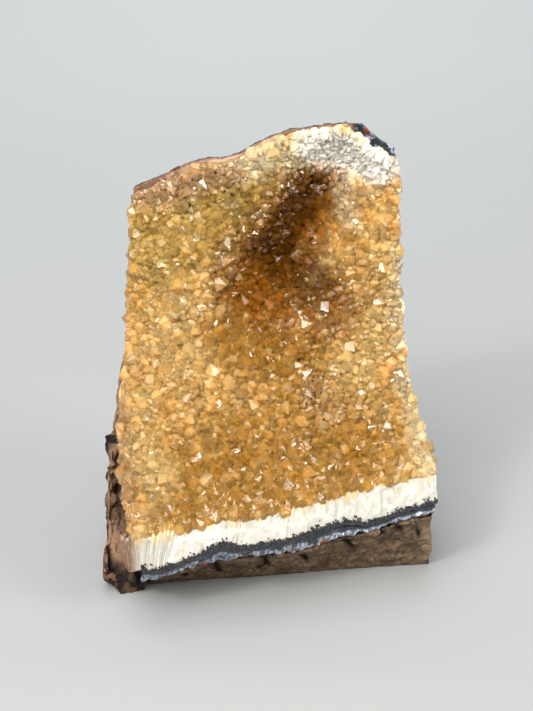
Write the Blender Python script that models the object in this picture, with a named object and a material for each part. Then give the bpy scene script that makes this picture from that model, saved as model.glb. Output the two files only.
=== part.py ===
"""Citrine cluster: a piece of a crystal hollow's wall, sawn flat so that it stands.

Three grown layers lie one behind the other, from front to back: the quartz crust that is milky
at its root and ends in golden points, the thin agate rind, and the basalt matrix. Each layer is
a slab between two surfaces. A surface is a set of rows from bottom to top, and a row is a line
of points from left to right.

Metres, +Z up. The crystals face -Y, the sawn base lies on Z = 0, and the origin is under the
middle of the stone. The tables below are in millimetres.
"""
import math
import random

import bmesh
import bpy
import numpy as np
from mathutils import Matrix, Vector

MM = 0.001

# Points in a row, the gap between two layers, how much the saw takes off the foot, and the half
# size of the block that it takes off.
COLUMNS = 16
LAYER_GAP = 0.35
SAW_DEPTH = 1.5
SAW_BLOCK = 200.0

# Lines across the stone from left to right, each point (x, y, z).
FRONT_FOOT = [(-51, -18, 0), (-48, -20, 0), (-36, -19, 0), (-30, -17, 0), (-9, -14.5, 0),
              (10, -11.5, 0), (29, -8.5, 0), (52, -6, 0)]
AGATE_LOW = [(-40.5, -32, 7), (-37, -36, 9), (-32, -34, 10), (-19, -34, 14.6), (-7, -33, 16),
             (6, -33, 17.2), (17, -30, 18.4), (24, -26, 21), (29, -26, 20), (40, -22, 22.5),
             (51, -19.5, 24)]
AGATE_NOSE = [(-38.5, -44, 17), (-37, -47, 18), (-33, -47, 18.3), (-22, -44.5, 21.6),
              (-14.5, -43, 25.5), (-8, -41.5, 23), (6, -38, 24), (15, -33, 25), (25.5, -28, 25.5),
              (29, -27, 23.5), (40, -23, 26), (52, -19.5, 28.2)]
BAND_TOP = [(-41.5, -38, 25), (-33, -42, 28.5), (-22, -40, 29.5), (-14, -38, 32), (-4, -36, 30.5),
            (6, -33, 32.3), (16, -28, 33), (28, -22, 34.5), (40.5, -18, 34.8), (51, -15, 37)]
BAND_BULGE = 0.6
CRYSTAL_RIM = [(-42.8, 15, 116.7), (-31.5, 16.5, 121), (-23, 17.5, 125.4), (-14, 18, 126.2),
               (-9.5, 18.5, 127.3), (-2.5, 19, 131.5), (5.5, 19.5, 135), (16, 19.5, 136.1),
               (25, 20, 136.8), (28.5, 20.5, 132.8), (33, 21, 129.5), (39.5, 22, 126.5)]
ROCK_RIM = [(-43.2, 21.2, 118.2), (-38, 22, 120.5), (-31.7, 22.8, 122.6), (-23.5, 24, 126.8),
            (-14.5, 24, 127.2), (-9.5, 24.6, 128.4), (-2.5, 25, 132.6), (5.5, 25.3, 136.1),
            (16, 25.4, 137), (25, 25.8, 138), (29, 26, 137.8), (32, 26, 133.6), (35.5, 26.5, 132.2),
            (39.8, 27, 129.6)]

# How the crystal face leans back between the top of the white band and the rim: for each row
# the share of the way back, the share of the way up, and its left and right ends. The bed that
# the points stand on lies behind this face by the points' cover.
FACE_ROWS = [
    (0.12, 0.035, -44.5, 50.4),
    (0.25, 0.11, -46.0, 48.0),
    (0.36, 0.20, -46.8, 45.4),
    (0.47, 0.32, -46.8, 43.2),
    (0.58, 0.46, -45.6, 41.6),
    (0.69, 0.60, -44.8, 41.0),
    (0.80, 0.74, -44.6, 41.0),
    (0.90, 0.88, -43.6, 40.6),
]

# The back of the quartz crust. It runs inwards as the hollow's floor, each row as far behind the
# agate's lower edge and above the nose as its (back, up), and then bends up behind the face at
# these thicknesses. The lowest of those rows also lie lower than the face does.
FLOOR_ROWS = [(4.0, -2.5), (12.0, -3.5), (21.0, -5.0)]
CRUST_THICKNESS = [20.0, 16.0, 14.0, 13.0, 12.5, 12.0, 10.5, 8.0]
CRUST_DROP = 13.0
CRUST_DROP_STEP = 4.5
CRUST_AT_RIM = 4.5

# The agate's floor is as thick as its front edge leaves it, within these limits. Rows up to the
# bend turn from floor to wall.
AGATE_FLOOR = (2.2, 6.0)
AGATE_THICKNESS = 4.0
AGATE_AT_RIM = 2.6
BEND_ROWS = 5

# The diagonal hollow in the upper right of the face.
HOLLOW_START = (19.0, 118.0)
HOLLOW_END = (-9.0, 84.0)
HOLLOW_WIDTH = 11.5
HOLLOW_DEPTH = 10.0
HOLLOW_THINNING = 0.6

# The undercut front of the rock, halfway up between the foot and the agate.
UNDERCUT_SHARE = 0.55
UNDERCUT_HEIGHT = 0.5
UNDERCUT_DEPTH = 1.5

# The rough back: for each row its depth, and its height where the stone is tallest. It comes
# forward towards both corners, and is rougher at the foot than at the top.
BACK_ROWS = [(34.0, 0.0), (35.8, 3.5), (37.2, 7.0), (38.4, 10.5), (39.6, 14.5), (41.0, 21.0),
             (42.2, 30.0), (43.0, 41.0), (43.4, 54.0), (43.4, 67.5), (43.0, 81.0), (42.0, 94.0),
             (40.4, 107.0), (37.4, 119.0), (30.5, 131.0)]
FOOT_LEFT = -50.0
FOOT_RIGHT = 51.5
BACK_CORNER = 12.0
CORNER_ROUNDING = 2.5
CORNER_FADE = 0.75
BACK_ROUGHNESS = 1.5
ROUGHNESS_FADE = 0.7
RIM_BACK = (5.5, -4.0)
ROCK_THINNEST = 3.5

# The strip of rock that stands up beside the lower left edge of the crust.
LEFT_WALL_X = -52.0
LEFT_WALL_TOP = 64.0
LEFT_WALL_FADE = 30.0
LEFT_WALL_THIN = 0.6
LEFT_WALL_FORWARD = 9.0
LEFT_WALL_FRONT = -27.0
LEFT_WALL_RISE = 2.0

# Lumps and pits of the rock, each with its centre and its half sizes. The first lump is the
# rusty one at the lower left foot.
LUMP_DETAIL = 1
LUMP_ROUGHNESS = 0.12
LUMPS = [
    ((-44.5, -20.5, 2.5), (7.0, 7.8, 7.5)),
    ((-28.0, 36.0, 24.0), (14.0, 8.5, 12.0)),
    ((13.0, 39.5, 47.0), (16.0, 8.0, 14.0)),
    ((-17.0, 40.0, 80.0), (13.0, 6.5, 15.0)),
    ((27.0, 38.5, 86.0), (10.0, 5.5, 13.0)),
    ((3.0, 36.0, 13.0), (15.0, 8.0, 9.0)),
]
PITS = [
    ((-6.0, 47.0, 61.0), (7.0, 4.5, 5.5)),
    ((32.0, 42.0, 30.0), (5.5, 5.0, 7.0)),
    ((-35.0, 42.0, 55.0), (4.5, 5.0, 6.0)),
    ((6.0, 43.5, 103.0), (5.0, 4.0, 4.0)),
]

# Golden points: hexagonal prisms with six-sided tips, scattered over the bed so that none stands
# closer to another than its spacing.
POINT_COVER = 4.0
POINT_SPACING = (5.44, 8.16)
POINT_RADIUS = (3.7, 5.3)
POINT_HEIGHT = (0.85, 1.25)
POINT_TILT = 18.0
POINT_ROOT = 1.6
PRISM_SHORTEST = 0.5
TIP_STEEPNESS = 1.15
SIDE_MARGIN = 0.3
FIRST_POINT_ROW = 2.15
TOP_MARGIN = 0.2
EDGE_SINK = 1.2
EDGE_ROWS = 0.67
POINT_TRIES = 9000

# Colours in linear light, each with its roughness and transmission.
LOOKS = {
    "citrine": ((0.66, 0.36, 0.09, 1.0), 0.12, 0.6),
    "agate": ((0.07, 0.10, 0.13, 1.0), 0.35, 0.0),
    "basalt": ((0.16, 0.11, 0.075, 1.0), 0.9, 0.0),
}
SEED = 7


def fractions(count):
    """Evenly spaced shares of a way, both ends included."""
    return np.linspace(0.0, 1.0, count)


def resample(line):
    """A line of points brought to the common number of columns, evenly spaced in x."""
    points = np.array(line, dtype=float)
    x = points[0, 0] + fractions(COLUMNS) * (points[-1, 0] - points[0, 0])
    y = np.interp(x, points[:, 0], points[:, 1])
    z = np.interp(x, points[:, 0], points[:, 2])
    return np.stack([x, y, z], axis=1)


def hollow_depth(points):
    """How far the hollow takes each point of the face back."""
    start = np.array(HOLLOW_START)
    run = np.array(HOLLOW_END) - start
    flat = points[..., [0, 2]] - start
    along = np.clip(flat @ run / (run @ run), 0.0, 1.0)
    away = np.linalg.norm(flat - along[..., None] * run, axis=-1)
    return HOLLOW_DEPTH * np.exp(-(away / HOLLOW_WIDTH) ** 2)


def face_bed():
    """The crust's front: the sawn white band, then the bed of the points up to the rim."""
    nose = resample(AGATE_NOSE)
    lip = resample(BAND_TOP)
    rim = resample(CRYSTAL_RIM)
    band_middle = (nose + lip) / 2
    band_middle[:, 1] -= BAND_BULGE
    rows = [nose, band_middle, lip]
    for back, up, left, right in FACE_ROWS:
        row = np.zeros_like(lip)
        row[:, 0] = left + fractions(COLUMNS) * (right - left)
        row[:, 1] = lip[:, 1] + back * (rim[:, 1] - lip[:, 1])
        row[:, 2] = lip[:, 2] + up * (rim[:, 2] - lip[:, 2])
        row[:, 1] += hollow_depth(row) + POINT_COVER
        rows.append(row)
    rows.append(rim)
    return np.array(rows)


def crust_back(bed):
    """The back of the quartz crust, where it meets the agate."""
    rows = []
    for back, up in FLOOR_ROWS:
        row = bed[0].copy()
        row[:, 1] = resample(AGATE_LOW)[:, 1] + back
        row[:, 2] += up
        rows.append(row)
    for index, thickness in enumerate(CRUST_THICKNESS):
        row = bed[len(FLOOR_ROWS) + index].copy()
        row[:, 1] += thickness - HOLLOW_THINNING * hollow_depth(row)
        row[:, 2] -= max(0.0, CRUST_DROP - CRUST_DROP_STEP * index)
        rows.append(row)
    rows.append(bed[-1] + np.array([0.0, CRUST_AT_RIM, 0.0]))
    return np.array(rows)


def behind(rows, floor_step, wall_step):
    """Rows moved down where they are the floor and back where they are the wall."""
    moved = []
    for index, row in enumerate(rows):
        wall = min(1.0, index / BEND_ROWS)
        step = np.zeros_like(row)
        step[:, 1] = wall * wall_step
        step[:, 2] = (wall - 1.0) * floor_step
        moved.append(row + step)
    return moved


def rind_surfaces(bed, crust):
    """The front and the back of the agate rind."""
    rim = resample(ROCK_RIM)
    front = [bed[0] - np.array([0.0, 0.0, LAYER_GAP])]
    front += behind(crust, LAYER_GAP, LAYER_GAP)
    front[-1] = rim
    low = resample(AGATE_LOW)
    floor = np.clip(front[1][:, 2] - low[:, 2], *AGATE_FLOOR)
    back = [low] + behind(front[1:], floor, AGATE_THICKNESS)
    back[-1] = rim + np.array([0.0, AGATE_AT_RIM, 0.0])
    return np.array(front), np.array(back)


def rock_surfaces(rind_back, rng):
    """The front and the back of the basalt."""
    low = rind_back[0]
    foot = resample(FRONT_FOOT)
    foot[:, 2] = -SAW_DEPTH
    undercut = foot + UNDERCUT_SHARE * (low - foot)
    undercut[:, 1] += UNDERCUT_DEPTH
    undercut[:, 2] = UNDERCUT_HEIGHT * low[:, 2]
    front = [foot, undercut, low - np.array([0.0, 0.0, LAYER_GAP])]
    front = np.array(front + behind(rind_back[1:], LAYER_GAP, LAYER_GAP))

    share = fractions(COLUMNS)
    corner = BACK_CORNER * np.abs(2 * share - 1) ** CORNER_ROUNDING
    wall = len(FLOOR_ROWS) + 3
    back = []
    for index, (depth, height) in enumerate(BACK_ROWS):
        up = index / (len(BACK_ROWS) - 1)
        left = FOOT_LEFT + up * (ROCK_RIM[0][0] - FOOT_LEFT)
        right = FOOT_RIGHT + up * (ROCK_RIM[-1][0] - FOOT_RIGHT)
        row = np.zeros((COLUMNS, 3))
        row[:, 0] = left + share * (right - left)
        row[:, 1] = depth - corner * (1 - CORNER_FADE * up)
        row[:, 2] = height * front[-1, :, 2] / front[-1, :, 2].max()
        row[:, :2] += rng.normal(0.0, BACK_ROUGHNESS, (COLUMNS, 2)) * (1 - ROUGHNESS_FADE * up)
        for j in range(COLUMNS):
            rind = np.interp(row[j, 2], front[wall:, j, 2], front[wall:, j, 1])
            row[j, 1] = max(row[j, 1], rind + ROCK_THINNEST)
        back.append(row)
    back[0][:, 2] = -SAW_DEPTH
    back[-1] = front[-1] + np.array([0.0, *RIM_BACK])
    return add_left_wall(front, np.array(back))


def add_left_wall(front, back):
    """One more column on the left, which stands forward beside the lower part of the crust."""
    edge = front[:, 0].copy()
    tall = np.clip((LEFT_WALL_TOP - edge[:, 2]) / LEFT_WALL_FADE, 0.0, 1.0)
    edge[:, 0] += tall * (LEFT_WALL_X - edge[:, 0]) - (1 - tall) * LEFT_WALL_THIN
    forward = np.maximum(edge[:, 1] - tall * LEFT_WALL_FORWARD, LEFT_WALL_FRONT)
    edge[2:, 1] = forward[2:]
    for i in range(3, len(edge)):
        edge[i, 2] = max(edge[i, 2], edge[i - 1, 2] + LEFT_WALL_RISE)
    side = back[:, 0] - np.array([LEFT_WALL_THIN, LEFT_WALL_FORWARD, 0.0])
    side[:, 1] = np.maximum(side[:, 1], (edge[:, 1] + back[:, 0, 1]) / 2)
    front = np.concatenate([edge[:, None], front], axis=1)
    back = np.concatenate([side[:, None], back], axis=1)
    return front, back


def slab(front, back, name):
    """One closed solid between two surfaces that have the same rows and columns."""
    rows, columns = front.shape[:2]
    builder = bmesh.new()
    near = [[builder.verts.new(Vector(point) * MM) for point in row] for row in front]
    far = [[builder.verts.new(Vector(point) * MM) for point in row] for row in back]
    faces = []
    for i in range(rows - 1):
        for j in range(columns - 1):
            faces.append((near[i][j], near[i][j + 1], near[i + 1][j + 1], near[i + 1][j]))
            faces.append((far[i][j], far[i + 1][j], far[i + 1][j + 1], far[i][j + 1]))
        faces.append((near[i][0], near[i + 1][0], far[i + 1][0], far[i][0]))
        faces.append((near[i + 1][-1], near[i][-1], far[i][-1], far[i + 1][-1]))
    for j in range(columns - 1):
        faces.append((near[0][j + 1], near[0][j], far[0][j], far[0][j + 1]))
        faces.append((near[-1][j], near[-1][j + 1], far[-1][j + 1], far[-1][j]))
    for corners in faces:
        builder.faces.new(corners)
    bmesh.ops.triangulate(builder, faces=builder.faces[:], quad_method='FIXED')
    return finish_mesh(builder, name)


def finish_mesh(builder, name):
    """An object made of what has been built."""
    mesh = bpy.data.meshes.new(name)
    builder.to_mesh(mesh)
    builder.free()
    return bpy.data.objects.new(name, mesh)


def bed_sample(bed, column, row):
    """A point of the bed and its outward direction, at a fractional column and row."""
    j = min(int(column), COLUMNS - 2)
    i = min(int(row), bed.shape[0] - 2)
    u = column - j
    v = row - i
    low = bed[i][j] * (1 - u) + bed[i][j + 1] * u
    high = bed[i + 1][j] * (1 - u) + bed[i + 1][j + 1] * u
    across = (bed[i][j + 1] - bed[i][j]) * (1 - v) + (bed[i + 1][j + 1] - bed[i + 1][j]) * v
    normal = Vector(np.cross(across, high - low)).normalized()
    return Vector(low * (1 - v) + high * v), normal


def add_point(builder, base, axis, radius, height, turn):
    """One hexagonal crystal: a short prism with a six-sided tip."""
    tip = radius * TIP_STEEPNESS
    prism = max(PRISM_SHORTEST, height + POINT_ROOT - tip)
    middle = base + axis * (prism + tip / 2 - POINT_ROOT)
    spin = axis.to_track_quat('Z', 'Y').to_matrix().to_4x4() @ Matrix.Rotation(turn, 4, 'Z')
    made = bmesh.ops.create_cone(builder, cap_ends=True, cap_tris=False, segments=6,
                                 radius1=radius * MM, radius2=0.0, depth=tip * MM,
                                 matrix=Matrix.Translation(middle * MM) @ spin)
    corner = next(vert for vert in made["verts"] if len(vert.link_faces) == 3)
    cap = next(face for face in corner.link_faces if len(face.verts) == 6)
    grown = bmesh.ops.extrude_face_region(builder, geom=[cap])
    lower = [item for item in grown["geom"] if isinstance(item, bmesh.types.BMVert)]
    bmesh.ops.delete(builder, geom=[cap], context='FACES_ONLY')
    bmesh.ops.translate(builder, verts=lower, vec=-axis * prism * MM)


def golden_points(bed, rng):
    """All the points as one mesh of overlapping closed crystals."""
    builder = bmesh.new()
    placed = []
    last_column = COLUMNS - 1
    last_row = bed.shape[0] - 1
    for _ in range(POINT_TRIES):
        column = rng.uniform(SIDE_MARGIN, last_column - SIDE_MARGIN)
        row = rng.uniform(FIRST_POINT_ROW, last_row - TOP_MARGIN)
        base, normal = bed_sample(bed, column, row)
        size = rng.uniform(0.0, 1.0)
        spacing = POINT_SPACING[0] + size * (POINT_SPACING[1] - POINT_SPACING[0])
        if any((base - other).length < spacing for other in placed):
            continue
        placed.append(base)
        radius = POINT_RADIUS[0] + size * (POINT_RADIUS[1] - POINT_RADIUS[0])
        angle = math.radians(rng.uniform(0.0, POINT_TILT))
        pivot = Vector((rng.uniform(-1, 1), rng.uniform(-1, 1), rng.uniform(-1, 1))).normalized()
        axis = (Matrix.Rotation(angle, 4, pivot) @ normal).normalized()
        inside = min(column, last_column - column, (last_row - row) / EDGE_ROWS, 1.0)
        height = POINT_COVER * rng.uniform(*POINT_HEIGHT)
        turn = rng.uniform(0.0, math.pi)
        add_point(builder, base - normal * (1 - inside) * EDGE_SINK, axis, radius, height, turn)
    return finish_mesh(builder, "golden_points")


def rough_lump(name, centre, size, rng):
    """A rounded lump of rock."""
    builder = bmesh.new()
    bmesh.ops.create_icosphere(builder, subdivisions=LUMP_DETAIL, radius=1.0)
    for vert in builder.verts:
        vert.co *= 1.0 + rng.uniform(-LUMP_ROUGHNESS, LUMP_ROUGHNESS)
    bmesh.ops.scale(builder, vec=Vector(size) * MM, verts=builder.verts[:])
    lump = finish_mesh(builder, name)
    lump.location = Vector(centre) * MM
    return lump


def saw_block():
    """The block below the base plane, which the saw takes off."""
    builder = bmesh.new()
    bmesh.ops.create_cube(builder, size=2 * SAW_BLOCK * MM)
    saw = finish_mesh(builder, "base_saw")
    saw.location.z = -SAW_BLOCK * MM
    return saw


def combine(target, cutter, operation, cutters, overlapping=False):
    """Join a cutter to an object or cut it away, and keep it as a wire guide."""
    cutters.objects.link(cutter)
    cutter.hide_render = True
    cutter.display_type = 'WIRE'
    boolean = target.modifiers.new(cutter.name, 'BOOLEAN')
    boolean.object = cutter
    boolean.operation = operation
    boolean.solver = 'EXACT'
    boolean.use_self = overlapping


def stone_material(name):
    """A plain stone material."""
    colour, roughness, transmission = LOOKS[name]
    material = bpy.data.materials.new(name)
    material.use_nodes = True
    shader = material.node_tree.nodes["Principled BSDF"]
    shader.inputs["Base Color"].default_value = colour
    shader.inputs["Roughness"].default_value = roughness
    shader.inputs["Metallic"].default_value = 0.0
    shader.inputs["Transmission Weight"].default_value = transmission
    return material


def main():
    for item in list(bpy.data.objects):
        bpy.data.objects.remove(item, do_unlink=True)
    parts = bpy.data.collections.new("Citrine cluster")
    cutters = bpy.data.collections.new("Cutters")
    for collection in (parts, cutters):
        bpy.context.scene.collection.children.link(collection)
    rng = random.Random(SEED)

    bed = face_bed()
    crust = crust_back(bed)
    rind_front, rind_back = rind_surfaces(bed, crust)
    rock_front, rock_back = rock_surfaces(rind_back, np.random.default_rng(SEED))

    crystals = slab(bed, crust, "citrine_crystals")
    agate = slab(rind_front, rind_back, "agate_rind")
    basalt = slab(rock_front, rock_back, "basalt_matrix")
    for part, look in ((crystals, "citrine"), (agate, "agate"), (basalt, "basalt")):
        parts.objects.link(part)
        part.data.materials.append(stone_material(look))

    combine(crystals, golden_points(bed, rng), 'UNION', cutters, overlapping=True)
    for number, (centre, size) in enumerate(LUMPS, start=1):
        combine(basalt, rough_lump(f"lump_{number}", centre, size, rng), 'UNION', cutters)
    for number, (centre, size) in enumerate(PITS, start=1):
        combine(basalt, rough_lump(f"pit_{number}", centre, size, rng), 'DIFFERENCE', cutters)
    combine(basalt, saw_block(), 'DIFFERENCE', cutters)


main()
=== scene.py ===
"""Looks of a citrine cluster: a sawn piece of a crystal hollow's wall, standing on its base.

Each grown layer stays where its solid is. The rock and the agate are fine copies of their solids,
the milky quartz is the crust with its stand-in points pressed back to the bed, and the white
columns, the mossy dots and the golden points are grown on them one by one.
"""
import itertools
import math
import random
from collections import namedtuple

import bpy
import numpy as np
from bpy.props import FloatProperty, FloatVectorProperty, IntProperty, PointerProperty
from mathutils import Matrix, Vector, noise
from mathutils.bvhtree import BVHTree
from mathutils.kdtree import KDTree


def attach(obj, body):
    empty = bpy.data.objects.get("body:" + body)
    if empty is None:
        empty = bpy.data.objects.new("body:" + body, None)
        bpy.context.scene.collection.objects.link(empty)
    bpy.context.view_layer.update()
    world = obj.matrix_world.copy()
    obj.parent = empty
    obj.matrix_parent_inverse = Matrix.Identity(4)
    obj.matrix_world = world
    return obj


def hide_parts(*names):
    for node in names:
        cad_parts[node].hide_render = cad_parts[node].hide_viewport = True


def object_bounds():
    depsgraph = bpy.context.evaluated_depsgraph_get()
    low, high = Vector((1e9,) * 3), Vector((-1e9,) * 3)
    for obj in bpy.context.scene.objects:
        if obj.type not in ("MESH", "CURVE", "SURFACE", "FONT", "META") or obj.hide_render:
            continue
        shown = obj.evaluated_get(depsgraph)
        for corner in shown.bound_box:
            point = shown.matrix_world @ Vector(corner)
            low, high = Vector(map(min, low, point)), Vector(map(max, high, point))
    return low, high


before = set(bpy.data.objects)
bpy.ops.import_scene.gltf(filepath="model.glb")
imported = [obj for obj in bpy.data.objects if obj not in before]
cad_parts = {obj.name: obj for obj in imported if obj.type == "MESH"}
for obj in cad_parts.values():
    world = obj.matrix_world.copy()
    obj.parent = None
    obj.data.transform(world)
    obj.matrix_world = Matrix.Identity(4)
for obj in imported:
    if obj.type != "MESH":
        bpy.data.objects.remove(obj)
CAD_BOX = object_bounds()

bl_info = {
    "name": "Citrine cluster looks",
    "version": (1, 0, 0),
    "blender": (4, 5, 0),
    "location": "3D View > Sidebar > Citrine",
    "description": "Rock, agate, milky quartz and golden points of a standing piece of geode",
    "category": "Add Mesh",
}

MM = 0.001

# What the lights aim at, where the camera stands, and how far it is tipped up from straight down.
STONE = (0.0, 0.0, 0.07)
CAMERA_PLACE = (-0.00112, -0.50448, 0.25327)
CAMERA_TILT = math.radians(70.0)

COLUMN_SEED = 11
DOT_SEED = 23
POINT_SEED = 5

# The crust's front in millimetres, as lines of points from left to right: the agate's front edge,
# the top of the white band, and the rim. The white columns go on around the left corner.
# LINE_POINTS is how many points the lines of the bed have once they are evened out.
LINE_POINTS = 16
AGATE_NOSE = [(-38.5, -44, 17), (-37, -47, 18), (-33, -47, 18.3), (-22, -44.5, 21.6),
              (-14.5, -43, 25.5), (-8, -41.5, 23), (6, -38, 24), (15, -33, 25), (25.5, -28, 25.5),
              (29, -27, 23.5), (40, -23, 26), (52, -19.5, 28.2)]
BAND_TOP = [(-41.5, -38, 25), (-33, -42, 28.5), (-22, -40, 29.5), (-14, -38, 32), (-4, -36, 30.5),
            (6, -33, 32.3), (16, -28, 33), (28, -22, 34.5), (40.5, -18, 34.8), (51, -15, 37)]
COLUMN_FOOT_LEFT = [(-44.4, -30, 10.5), (-43, -35, 11.5)]
COLUMN_TOP_LEFT = [(-45.6, -28.5, 20.7), (-44.6, -33, 21.5)]
CRYSTAL_RIM = [(-42.8, 15, 116.7), (-31.5, 16.5, 121), (-23, 17.5, 125.4), (-14, 18, 126.2),
               (-9.5, 18.5, 127.3), (-2.5, 19, 131.5), (5.5, 19.5, 135), (16, 19.5, 136.1),
               (25, 20, 136.8), (28.5, 20.5, 132.8), (33, 21, 129.5), (39.5, 22, 126.5)]

# How the bed leans back from the band to the rim: for each row its share of the way back, its
# share of the way up, and its two ends in x. The hollow's line is given in x and z.
FACE_ROWS = [(0.12, 0.035, -44.5, 50.4), (0.25, 0.11, -46.0, 48.0), (0.36, 0.20, -46.8, 45.4),
             (0.47, 0.32, -46.8, 43.2), (0.58, 0.46, -45.6, 41.6), (0.69, 0.60, -44.8, 41.0),
             (0.80, 0.74, -44.6, 41.0), (0.90, 0.88, -43.6, 40.6)]
POINT_COVER = 4.0
HOLLOW_START = (19.0, 118.0)
HOLLOW_END = (-9.0, 84.0)
HOLLOW_WIDTH = 11.5
HOLLOW_DEPTH = 10.0

# The bed's fine grid and its gentle swells, which fade out toward its edge.
BED_ROWS = 150
BED_COLUMNS = 110
SWELL_SIZE = 13.0
SWELL_HEIGHT = 1.5
SWELL_EDGE = 0.06

# How far apart the smallest points stand, in steps of the bed's grid.
SEAT_STEP = 1.35

# How strongly a point bends and mirrors light: plain quartz, and the duller ones in the hollow.
QUARTZ_IOR = 1.54
DULL_IOR = 1.30

# The white corner in x and z: the start and the end of its line, and its radius.
SNOW = ((15, 132.5), (34, 125.5), 7.5)

# The dark inside of the hollow, in the same way. It keeps clear of the white corner.
AMBER = ((14, 113), (-3, 88), 10.5)

# Cracks and hollows of the rock: a line of points, its width and its depth, in millimetres.
# They are also painted nearly black in the rock's colour, as painted shade.
CREVICES = [
    ([(-49.8, -1, 43), (-49.3, -1, 39), (-48.7, -1.3, 34)], 2.0, 3.6),
    ([(-49.5, -3.9, 30.5), (-48.1, -3.7, 25.5), (-49.5, -6.9, 23)], 2.6, 4.0),
    ([(-49.5, -6.9, 23), (-50.6, -9.9, 19), (-50.8, -13.2, 14), (-50.2, -21.6, 11),
      (-48.5, -26, 9)], 1.0, 2.0),
    ([(-48.0, -27, 8.6), (-45.5, -27.5, 8.2), (-42.5, -27.5, 8.0)], 4.2, 3.6),
    ([(-42.5, -28, 7.8), (-38.5, -32, 8.0)], 2.6, 2.4),
    ([(-28.9, -30, 9.5), (-26.6, -22, 3.5)], 1.2, 1.4),
    ([(-17.8, -31, 12.5), (-15.8, -21, 4.5)], 1.5, 1.6),
    ([(-2.5, -31, 15), (-0.5, -22, 7.5), (-3.5, -20, 5.5)], 1.2, 1.6),
    ([(9.1, -28, 15), (11.6, -20.3, 8.5)], 1.2, 1.5),
    ([(22.6, -25, 18), (26.5, -17.4, 10.9)], 1.2, 1.5),
    ([(36.6, -24, 22.5), (34.8, -21, 17.5)], 1.3, 1.6),
    ([(38.5, -22.5, 22.5), (41.7, -18.4, 16.5)], 1.4, 1.8),
    ([(45.4, -17.5, 21), (49.6, -10.5, 4)], 0.9, 1.0),
]

# Soft streaks of stain, wear, painted light and painted shade: start, end, radius and ragged edge,
# in millimetres.
WEATHERED_SIDE = ((-50, -20, 10), (-50, -2, 60), 14, 4)
# Painted light: the chipped right edge is painted lighter, as its lit facet.
BROKEN_LIT_EDGE = ((49, -17, 20), (51.5, -10, 4), 2.4, 2)
RUST_STAINS = [
    ((-51.5, -24, 4), (-52, -4, 40), 2.2, 6),
    ((-47, -24, 2), (-41, -24, 4), 6, 6),
    ((-30, -27, 12), (-4, -24, 13), 1.6, 6),
    ((8, -22, 13), (40, -18, 20), 1.8, 6),
    ((30, 24, 135.5), (34, 24, 132), 2, 6),
    ((-43, 26, 117), (-12, 28, 127), 2.8, 6),
]
# Painted shade: nearly black at the rock's left foot, by the floor.
FOOT_SHADE = ((-50, -26, 4.5), (-42.5, -28, 3.5), 7, 4)
RUSTY_SPOT = ((30, 26.5, 136), (31.2, 26.5, 133.5), 0.9, 2)
SPECKLED = [((12, 0, 68), (20, 0, 52), 10, 6), ((-36, 0, 117), (-12, 0, 122), 7, 4)]

# Colour zones of the druse in x and z: start, end, radius, colour and strength. Later ones lie
# over earlier ones.
DRUSE_ZONES = [
    ((-34, 38), (28, 42), 12, "caramel", 0.90),
    ((-12, 54), (20, 60), 9, "caramel", 0.60),
    ((-12, 74), (14, 68), 10, "caramel", 1.0),
    ((-36, 78), (-24, 66), 9, "honey", 0.55),
    ((26, 66), (36, 92), 9, "honey", 0.80),
    ((-42, 60), (-38, 36), 6, "honey", 0.60),
    ((-41, 46), (-34, 40), 6, "honey", 0.80),
    ((42, 100), (41, 72), 4, "pale", 0.75),
    ((44, 62), (50, 40), 5, "pale", 0.80),
    ((-38, 100), (-4, 116), 13, "olive", 0.80),
    ((-10, 112), (6, 106), 9, "moss", 0.75),
    # Painted shade in the hollow, over its deeper amber.
    ((15, 117), (-5, 92), 13, "amber_and_shade", 0.88),
    ((-2, 86), (19, 85), 11, "amber_and_shade", 0.80),
    ((12, 117), (2, 101), 7, "deep_shade", 0.95),
    ((0, 97), (13, 91), 8, "deep_shade", 0.72),
    ((26, 100), (30, 88), 6, "caramel", 0.45),
    ((33, 104), (34, 96), 4, "honey", 0.4),
    ((23, 118), (25, 109), 3.5, "pale", 0.60),
    ((-9, 127), (12, 132), 6, "pale", 0.95),
    (*SNOW, "snow", 1.0),
    ((-40, 118), (-12, 124.5), 4.5, "tan", 0.95),
    ((14, 62), (18, 54), 5, "tan", 0.40),
    ((-47, 62), (-43, 30), 3, "tan", 0.55),
]

# One crystal in millimetres: how far its root, its shoulder and its tip are from the base along
# the axis, how far the tip is shifted, and how much each edge's shoulder is higher or lower.
Crystal = namedtuple(
    "Crystal", ["base", "axis", "radius", "root", "shoulder", "tip", "turn", "flatness", "shift",
                "steps"])


def refine(rows, count):
    """Rows of points brought to a finer count, on smooth curves through them."""
    place = np.linspace(0.0, len(rows) - 1.0, count)
    index = np.minimum(place.astype(int), len(rows) - 2)
    f = (place - index).reshape([-1] + [1] * (rows.ndim - 1))
    before = rows[np.maximum(index - 1, 0)]
    start = rows[index]
    end = rows[index + 1]
    after = rows[np.minimum(index + 2, len(rows) - 1)]
    return 0.5 * (2 * start + (end - before) * f
                  + (2 * before - 5 * start + 4 * end - after) * f ** 2
                  + (3 * start - before - 3 * end + after) * f ** 3)


def resample(line):
    """A line of points at evenly spaced x."""
    points = np.array(line, dtype=float)
    x = np.linspace(points[0, 0], points[-1, 0], LINE_POINTS)
    y = np.interp(x, points[:, 0], points[:, 1])
    z = np.interp(x, points[:, 0], points[:, 2])
    return np.stack([x, y, z], axis=1)


def hollow_depth(points):
    """How far the diagonal hollow takes each point of the bed back."""
    start = np.array(HOLLOW_START)
    run = np.array(HOLLOW_END) - start
    flat = points[..., [0, 2]] - start
    along = np.clip(flat @ run / (run @ run), 0.0, 1.0)
    away = np.linalg.norm(flat - along[..., None] * run, axis=-1)
    return HOLLOW_DEPTH * np.exp(-(away / HOLLOW_WIDTH) ** 2)


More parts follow.
